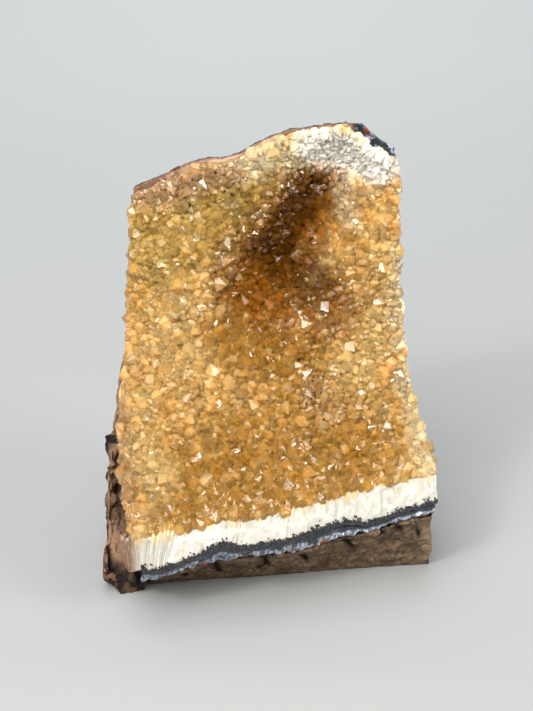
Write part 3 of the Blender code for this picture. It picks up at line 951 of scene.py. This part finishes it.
class CITRINE_OT_quartz(bpy.types.Operator):
    """Shape and colour the milky crust"""
    bl_idname = "citrine.quartz"
    bl_label = "Milky quartz"

    def execute(self, context):
        settings = context.scene.citrine_quartz
        piece = fine_copy("citrine_crystals", "milky_quartz", settings.voxel)
        points, normals = mesh_points(piece.data)
        near, moved = self.press_to_bed(points)
        grit = rough(points, 2.4, 3)
        ribs = rough(points * np.array([1.0, 1.0, 0.22]), 1.5, 2)
        moved += normals * ((1 - near) * (0.35 * ribs + 0.2 * grit))[:, None]
        move_points(piece.data, moved)
        store(piece.data, "bed", [near, smooth(ribs, -0.6, 0.6), smooth(grit, -0.6, 0.6)])
        finish_piece(piece, "citrine_crystals", self.material(settings))
        return {'FINISHED'}

    def press_to_bed(self, points):
        """How near to the bed each point is, and the points with the stand-ins pressed to it."""
        cover = 1.5 * POINT_COVER + SWELL_HEIGHT
        fade = 3.5
        behind = 0.4
        below = 0.2
        tree = grid_tree(bed_grid()[0])
        lip = np.array(BAND_TOP, dtype=float)
        lip_height = np.interp(points[:, 0], lip[:, 0], lip[:, 2])
        near = np.zeros(len(points))
        moved = points.copy()
        for index, point in enumerate(points):
            if point[2] < lip_height[index] - 0.3:
                continue
            place, facing, face, away = tree.find_nearest(Vector(point))
            ahead = (Vector(point) - place).dot(facing)
            near[index] = max(0.0, 1 - away / fade)
            if ahead > -behind and away < cover:
                moved[index] = place - facing * below
                near[index] = 1.0
        return near, moved

    def material(self, settings):
        """White at the root; where the golden points stand, the druse's colour with painted shade.
        """
        material, tree, shader, position = new_material("Milky quartz")
        near, ribs, grit = stored(tree, "bed")
        druse = use_group(tree, "Druse colour", {"Position": position})
        # Painted shade: the bed between the points made darker and warmer.
        druse = mix_colour(tree, 0.4, druse, settings.shade, 'MULTIPLY')
        clouds = grain(tree, position, 240.0, 2.0)
        milk = mix_colour(tree, soft_range(tree, clouds, 0.75, 1.1), settings.milk,
                          settings.cream)
        milk = lay_over(tree, milk, soft_range(tree, ribs, 0.30, 0.05), settings.tan, 0.2)
        axes = axes_of(tree, position)
        left = product(tree, soft_range(tree, axes[0], -0.0385, -0.0425),
                       soft_range(tree, axes[2], 0.085, 0.045, 0.25, 0.9))
        milk = mix_colour(tree, left, milk, clay_colour(tree, position, settings))
        colour = mix_colour(tree, soft_range(tree, near, 0.35, 0.9), milk, druse)
        tree.links.new(colour, shader.inputs["Base Color"])
        tree.links.new(soft_range(tree, clouds, 0.0, 1.0, 0.3, 0.5), shader.inputs["Roughness"])
        make_milky(shader, 0.25, (0.0025, 0.0018, 0.0010))
        add_bump(tree, shader, clouds, 0.4, 0.0005)
        return material


class CITRINE_OT_columns(bpy.types.Operator):
    """Grow the white columns of the band below the golden points"""
    bl_idname = "citrine.columns"
    bl_label = "White columns"

    def execute(self, context):
        settings = context.scene.citrine_quartz
        rng = random.Random(COLUMN_SEED)
        nose = np.array(COLUMN_FOOT_LEFT + AGATE_NOSE, dtype=float)
        lip = np.array(COLUMN_TOP_LEFT + BAND_TOP, dtype=float)
        widest = settings.column_width / MM / 2
        crystals = []
        tones = []
        for number in range(settings.columns):
            share = (number + rng.uniform(0.1, 0.9)) / settings.columns
            foot = line_point(nose, share)
            top = line_point(lip, share)
            run = line_run(nose, share)
            outward = Vector((run.y, -run.x, 0.35 * run.xy.length)).normalized()
            axis = (top - foot).normalized()
            axis = (axis + Vector((rng.gauss(0, 0.035), rng.gauss(0, 0.03), 0))).normalized()
            radius = widest * rng.uniform(0.4, 1.0)
            tip = (top - foot).length + settings.tooth / MM * (rng.random() ** 2 - 0.15)
            base = foot - outward * (radius * rng.uniform(0.55, 0.8) + 0.15) + axis * 0.6
            steps = [rng.uniform(-0.3, 0.3) for _ in range(6)]
            shift = (rng.uniform(-0.4, 0.4) * radius, rng.uniform(-0.4, 0.4) * radius)
            crystals.append(Crystal(
                base=base, axis=axis, radius=radius, root=0.0, shoulder=tip - 2.4 * radius,
                tip=tip, turn=rng.uniform(0, math.pi), flatness=rng.uniform(0.7, 1.0),
                shift=shift, steps=steps))
            tones.append((rng.random(), rng.random()))
        piece = crystal_piece("quartz_columns", crystals, tones)
        finish_piece(piece, "citrine_crystals", self.material(settings))
        return {'FINISHED'}

    def material(self, settings):
        """White translucent quartz with a warm tinge at the tips."""
        material, tree, shader, position = new_material("White columns")
        growth = stored(tree, "growth")
        clouds = grain(tree, upright(tree, position, 0.2), 700.0, 2.0)
        colour = lay_over(tree, settings.milk, clouds, settings.cream, 0.26)
        colour = toned(tree, colour, growth[0], 0.86, 1.06)
        reach = math_node(tree, 'MULTIPLY_ADD', clouds, 0.4, growth[1])
        warm = soft_range(tree, reach, 0.56, 0.86)
        colour = lay_over(tree, colour, warm, settings.honey, 0.85)
        foot = soft_range(tree, growth[1], 0.10, 0.01)
        colour = lay_over(tree, colour, foot, settings.cream, 0.55)
        left = soft_range(tree, axes_of(tree, position)[0], -0.0395, -0.0430)
        colour = mix_colour(tree, left, colour, clay_colour(tree, position, settings))
        tree.links.new(colour, shader.inputs["Base Color"])
        tree.links.new(soft_range(tree, clouds, 0.0, 1.0, 0.18, 0.4), shader.inputs["Roughness"])
        make_milky(shader, 0.3, (0.0025, 0.002, 0.0015))
        add_bump(tree, shader, clouds, 0.3, 0.0003)
        return material


class CITRINE_OT_moss(bpy.types.Operator):
    """Scatter the black mossy dots where the white columns meet the agate"""
    bl_idname = "citrine.moss"
    bl_label = "Mossy dots"

    def execute(self, context):
        settings = context.scene.citrine_agate
        rng = random.Random(DOT_SEED)
        nose = np.array(AGATE_NOSE, dtype=float)
        widest = settings.dot_size / MM / 2
        clump_spacing = 2.2
        crystals = []
        tones = []
        for _ in range(settings.dots):
            share = rng.random()
            foot = line_point(nose, share)
            run = line_run(nose, share)
            outward = Vector((run.y, -run.x, 0.0)).normalized()
            clump = 0.5 + 0.5 * noise.noise(foot / clump_spacing)
            rise = rng.expovariate(1 / 0.55) * (0.3 + 1.2 * clump) - 0.35
            radius = widest * rng.uniform(0.45, 1.0)
            base = foot + outward * rng.uniform(0.0, 0.18) + Vector((0, 0, rise))
            axis = (outward + random_vector(rng, 0.5)).normalized()
            steps = [rng.uniform(-0.3, 0.3) * radius for _ in range(6)]
            crystals.append(Crystal(
                base=base, axis=axis, radius=radius, root=radius * 0.8, shoulder=radius * 0.3,
                tip=radius * 0.8, turn=rng.uniform(0, math.pi), flatness=rng.uniform(0.7, 1.0),
                shift=(0.0, 0.0), steps=steps))
            tones.append((rng.random(), rng.random()))
        piece = crystal_piece("mossy_dots", crystals, tones)
        finish_piece(piece, "agate_rind", self.material(settings))
        return {'FINISHED'}

    def material(self, settings):
        """Nearly black, some dots bluish."""
        material, tree, shader, position = new_material("Mossy dots")
        bluish = soft_range(tree, stored(tree, "growth")[0], 0.3, 1.0)
        colour = mix_colour(tree, bluish, settings.black, settings.slate)
        tree.links.new(colour, shader.inputs["Base Color"])
        shader.inputs["Roughness"].default_value = 0.6
        return material


class CITRINE_OT_points(bpy.types.Operator):
    """Grow the golden points on the bed"""
    bl_idname = "citrine.points"
    bl_label = "Golden points"

    def execute(self, context):
        settings = context.scene.citrine_points
        rng = random.Random(POINT_SEED)
        bed = bed_grid()
        large = self.large_seats(bed, settings, rng)
        small = self.small_seats(bed, settings, rng, large)
        white = [seat for seat in large + small if self.near_line(seat[0], SNOW)]
        amber_and_shade = [seat for seat in large + small if self.near_line(seat[0], AMBER)]
        elsewhere = {id(seat) for seat in white + amber_and_shade}
        large = [seat for seat in large if id(seat) not in elsewhere]
        small = [seat for seat in small if id(seat) not in elsewhere]
        clearness = settings.clearness
        clear = self.material(settings, "Golden points", clearness, QUARTZ_IOR, mottled=True)
        dark = self.material(settings, "Amber points", clearness, DULL_IOR)
        frosted = self.material(settings, "Frosted points", clearness * 0.4, QUARTZ_IOR)
        for name, seats, material in (("citrine_points", large, clear),
                                      ("small_points", small, clear),
                                      ("amber_points", amber_and_shade, dark),
                                      ("white_points", white, frosted)):
            crystals = [self.crystal(seat, settings, rng) for seat in seats]
            tones = [(rng.random(), rng.random()) for seat in seats]
            piece = crystal_piece(name, crystals, tones)
            finish_piece(piece, "citrine_crystals", material)
        return {'FINISHED'}

    def large_seats(self, bed, settings, rng):
        """Where the large and middle points stand, tried at random and kept where there is room."""
        smallest = settings.smallest / MM
        largest = settings.largest / MM
        middle = (smallest + largest) / 2
        seats = []
        taken = {}
        for tries, low, high, room in ((2500, middle, largest, 0.66),
                                       (20000, smallest * 1.4, middle, 0.50)):
            for _ in range(tries):
                seat = self.seat(bed, rng.uniform(0.4, BED_COLUMNS - 1.4),
                                 rng.uniform(0.5, BED_ROWS - 1.6), rng.uniform(low, high))
                key = tuple(int(math.floor(value / (2 * largest))) for value in seat[0])
                if not crowded(taken, key, seat[0], seat[2], room):
                    taken.setdefault(key, []).append((seat[0], seat[2]))
                    seats.append(seat)
        return seats

    def small_seats(self, bed, settings, rng, large):
        """Where the small points stand: all over the bed, outside the large ones."""
        smallest = settings.smallest / MM
        largest = settings.largest / MM
        cover = 0.62
        near = KDTree(len(large))
        for index, seat in enumerate(large):
            near.insert(seat[0], index)
        near.balance()
        seats = []
        for i in range(int(BED_ROWS / SEAT_STEP) - 1):
            for j in range(int(BED_COLUMNS / SEAT_STEP) - 1):
                column = (j + rng.uniform(0.3, 1.2)) * SEAT_STEP
                row = (i + rng.uniform(0.3, 1.2)) * SEAT_STEP
                seat = self.seat(bed, column, row, smallest * rng.uniform(0.9, 1.7))
                around = near.find_range(seat[0], largest)
                if all(away > cover * large[index][2] for place, index, away in around):
                    seats.append(seat)
        return seats

    def near_line(self, base, area):
        """Whether a point stands in an area around a line."""
        start, end, radius = area
        place = np.array([[base.x, 0.0, base.z]])
        away = line_distance(place, [(start[0], 0, start[1]), (end[0], 0, end[1])])[0]
        return away < radius * (1 + 0.5 * noise.noise(base / 3.0))

    def seat(self, bed, column, row, radius):
        """Where a point stands: its place, the bed's direction, its radius, and how far inside."""
        base, normal = grid_sample(*bed, column, row)
        inner = min(column, BED_COLUMNS - 1 - column, BED_ROWS - 1 - row) / 4.0
        return base, normal, radius * self.coarseness(base), min(1.0, inner)

    def crystal(self, seat, settings, rng):
        """One leaning point, shorter and sunk a little at the bed's edge."""
        base, normal, radius, inner = seat
        angle = min(abs(rng.gauss(0.0, settings.lean)), 0.9)
        pivot = random_vector(rng, 1).normalized()
        axis = (Matrix.Rotation(angle, 3, pivot) @ normal).normalized()
        pyramid = radius * rng.uniform(0.75, 1.15)
        shoulder = radius * rng.uniform(0.0, 0.4) + (settings.largest / MM - radius) * 0.35
        shoulder *= min(1.0, self.coarseness(base) ** 3)
        shoulder = min(shoulder, settings.tallest / MM - pyramid) * (0.4 + 0.6 * inner)
        slant = 0.35 * radius
        shift = (rng.uniform(-slant, slant), rng.uniform(-slant, slant))
        tilt = rng.uniform(0.05, 0.35) * radius
        steps = [tilt * (1 if k % 2 else -1) * rng.uniform(0.3, 1.0) for k in range(6)]
        return Crystal(
            base=base - normal * (1 - inner) * 0.8, axis=axis, radius=radius, root=1.3,
            shoulder=shoulder, tip=shoulder + pyramid, turn=rng.uniform(0, math.pi),
            flatness=rng.uniform(0.78, 1.0), shift=shift, steps=steps)

    def coarseness(self, base):
        """Coarser druse at the upper left, finer at the ridge and in the white corner."""
        upper_left = hill(base, -22, 98, 26, 26)
        ridge = hill(base, 14, 84, 18, 14)
        corner = hill(base, 26, 130, 14, 9)
        return 1.0 + 0.2 * upper_left - 0.15 * ridge - 0.45 * corner

    def material(self, settings, name, clearness, bending, mottled=False):
        """See-through golden quartz, each point with its own tone."""
        material, tree, shader, position = new_material(name)
        growth = stored(tree, "growth")
        colour = use_group(tree, "Druse colour", {"Position": position})
        colour = toned(tree, colour, growth[0], 0.68, 1.15)
        if mottled:
            brighter = soft_range(tree, growth[2], 0.84, 0.98, 0.0, 0.6)
            colour = mix_colour(tree, brighter, colour, settings.honey)
            deeper = soft_range(tree, growth[2], 0.16, 0.02, 0.0, 0.45)
            colour = mix_colour(tree, deeper, colour, settings.caramel)
        specks = use_group(tree, "Dark specks", {"Position": position, "Scale": 520.0,
                                                 "Amount": 0.42})
        flat = without_depth(tree, position)
        place = math_node(tree, 'MAXIMUM', *[streak(tree, flat, *area) for area in SPECKLED])
        colour = mix_colour(tree, product(tree, specks, place), colour, settings.speck)
        tree.links.new(colour, shader.inputs["Base Color"])
        haze = grain(tree, position, 700.0, 2.0)
        tree.links.new(soft_range(tree, haze, 0.2, 0.9, 0.01, 0.12), shader.inputs["Roughness"])
        shader.inputs["IOR"].default_value = bending
        shader.inputs["Transmission Weight"].default_value = clearness
        volume = add_node(tree, 'ShaderNodeVolumeAbsorption', {
            "Color": (*settings.inside, 1.0), "Density": settings.depth_of_colour})
        leave = tree.nodes["Material Output"]
        tree.links.new(volume.outputs["Volume"], leave.inputs["Volume"])
        ridges = grain(tree, position, 1100.0, 2.5)
        add_bump(tree, shader, math_node(tree, 'ADD', haze, ridges), 0.14, 0.0003)
        return material


class CITRINE_OT_stage(bpy.types.Operator):
    """Set the floor, the lights and the camera"""
    bl_idname = "citrine.stage"
    bl_label = "Stage"

    def execute(self, context):
        settings = context.scene.citrine_stage
        context.scene.view_settings.view_transform = 'Standard'
        self.floor(settings)
        self.light("Key", (-0.45, -0.75, 0.75), STONE, 0.16, settings.key, (1.0, 0.98, 0.95))
        self.light("Window", (-0.36, -0.88, 0.95), STONE, 1.0, settings.window,
                   (1.0, 0.985, 0.96))
        self.light("Side", (0.85, -0.40, 0.50), STONE, 0.40, settings.side, (1.0, 0.97, 0.93))
        self.light("Top", (-0.10, 0.05, 1.10), STONE, 0.90, settings.top, (0.98, 0.98, 1.0))
        self.light("Backdrop", (0.0, 0.9, 1.3), (0.0, 2.0, 0.3), 1.0, settings.backdrop,
                   (0.95, 0.98, 1.0))
        world = bpy.data.worlds.new("Soft studio")
        world.use_nodes = True
        shade = world.node_tree.nodes["Background"]
        shade.inputs["Color"].default_value = (1.0, 0.98, 0.95, 1.0)
        shade.inputs["Strength"].default_value = settings.sky
        context.scene.world = world
        camera = bpy.data.objects.new("Camera", bpy.data.cameras.new("Camera"))
        context.scene.collection.objects.link(camera)
        camera.location = CAMERA_PLACE
        camera.rotation_euler = (CAMERA_TILT, 0.0, 0.0)
        camera.data.lens = settings.lens
        camera.data.clip_start = 0.01
        context.scene.camera = camera
        return {'FINISHED'}

    def floor(self, settings):
        """A plain floor that curves up far behind the stone."""
        rows = 24
        columns = 12
        points = []
        for i in range(rows + 1):
            share = i / rows
            y = -1.5 + 3.5 * share
            z = 1.6 * max(0.0, share - 0.6) ** 2
            for j in range(columns + 1):
                points.append((-2.0 + 4.0 * j / columns, y, z))
        faces = grid_faces(rows + 1, columns + 1)
        mesh = bpy.data.meshes.new("floor")
        mesh.from_pydata(points, [], faces)
        mesh.polygons.foreach_set("use_smooth", [True] * len(faces))
        floor = bpy.data.objects.new("floor", mesh)
        bpy.context.scene.collection.objects.link(floor)
        material, tree, shader, position = new_material("Pale floor")
        darker = [0.95 * value for value in settings.floor]
        colour = mix_colour(tree, grain(tree, position, 8.0, 0.4), darker, settings.floor)
        tree.links.new(colour, shader.inputs["Base Color"])
        shader.inputs["Roughness"].default_value = 0.6
        mesh.materials.append(material)

    def light(self, name, place, aim, size, power, colour):
        """A soft square light that looks at a place."""
        data = bpy.data.lights.new(name, 'AREA')
        data.size = size
        data.energy = power
        data.color = colour
        light = bpy.data.objects.new(name, data)
        light.location = place
        look = Vector(aim) - Vector(place)
        light.rotation_euler = look.to_track_quat('-Z', 'Y').to_euler()
        bpy.context.scene.collection.objects.link(light)


class CITRINE_PT_panel(bpy.types.Panel):
    """Lists the pieces and the stage"""
    bl_idname = "CITRINE_PT_panel"
    bl_label = "Citrine cluster"
    bl_space_type = 'VIEW_3D'
    bl_region_type = 'UI'
    bl_category = "Citrine"

    def draw(self, context):
        for settings, operators in PANEL_BOXES.items():
            box = self.layout.box()
            for operator in operators:
                box.operator(operator)
            group = getattr(context.scene, settings)
            for name in group.bl_rna.properties.keys():
                if name not in ("rna_type", "name"):
                    box.prop(group, name)


PANEL_BOXES = {
    "citrine_rock": ("citrine.basalt",),
    "citrine_agate": ("citrine.agate", "citrine.moss"),
    "citrine_quartz": ("citrine.quartz", "citrine.columns"),
    "citrine_points": ("citrine.points",),
    "citrine_stage": ("citrine.stage",),
}
SETTINGS = {
    "citrine_rock": RockSettings,
    "citrine_agate": AgateSettings,
    "citrine_quartz": QuartzSettings,
    "citrine_points": PointSettings,
    "citrine_stage": StageSettings,
}
CLASSES = [*SETTINGS.values(), CITRINE_OT_basalt, CITRINE_OT_agate, CITRINE_OT_quartz,
           CITRINE_OT_columns, CITRINE_OT_moss, CITRINE_OT_points, CITRINE_OT_stage,
           CITRINE_PT_panel]


def register():
    """Adds the settings, the operators and the panel."""
    for item in CLASSES:
        bpy.utils.register_class(item)
    for name, settings in SETTINGS.items():
        setattr(bpy.types.Scene, name, PointerProperty(type=settings))


def unregister():
    """Takes them out again."""
    for name in SETTINGS:
        delattr(bpy.types.Scene, name)
    for item in reversed(CLASSES):
        bpy.utils.unregister_class(item)


def main():
    """Builds the shared effects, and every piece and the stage."""
    register()
    streak_group()
    speck_group()
    grain_group()
    druse_group(bpy.context.scene.citrine_points)
    bpy.ops.citrine.basalt()
    bpy.ops.citrine.agate()
    bpy.ops.citrine.quartz()
    bpy.ops.citrine.columns()
    bpy.ops.citrine.moss()
    bpy.ops.citrine.points()
    bpy.ops.citrine.stage()


if __name__ == "__main__":
    main()
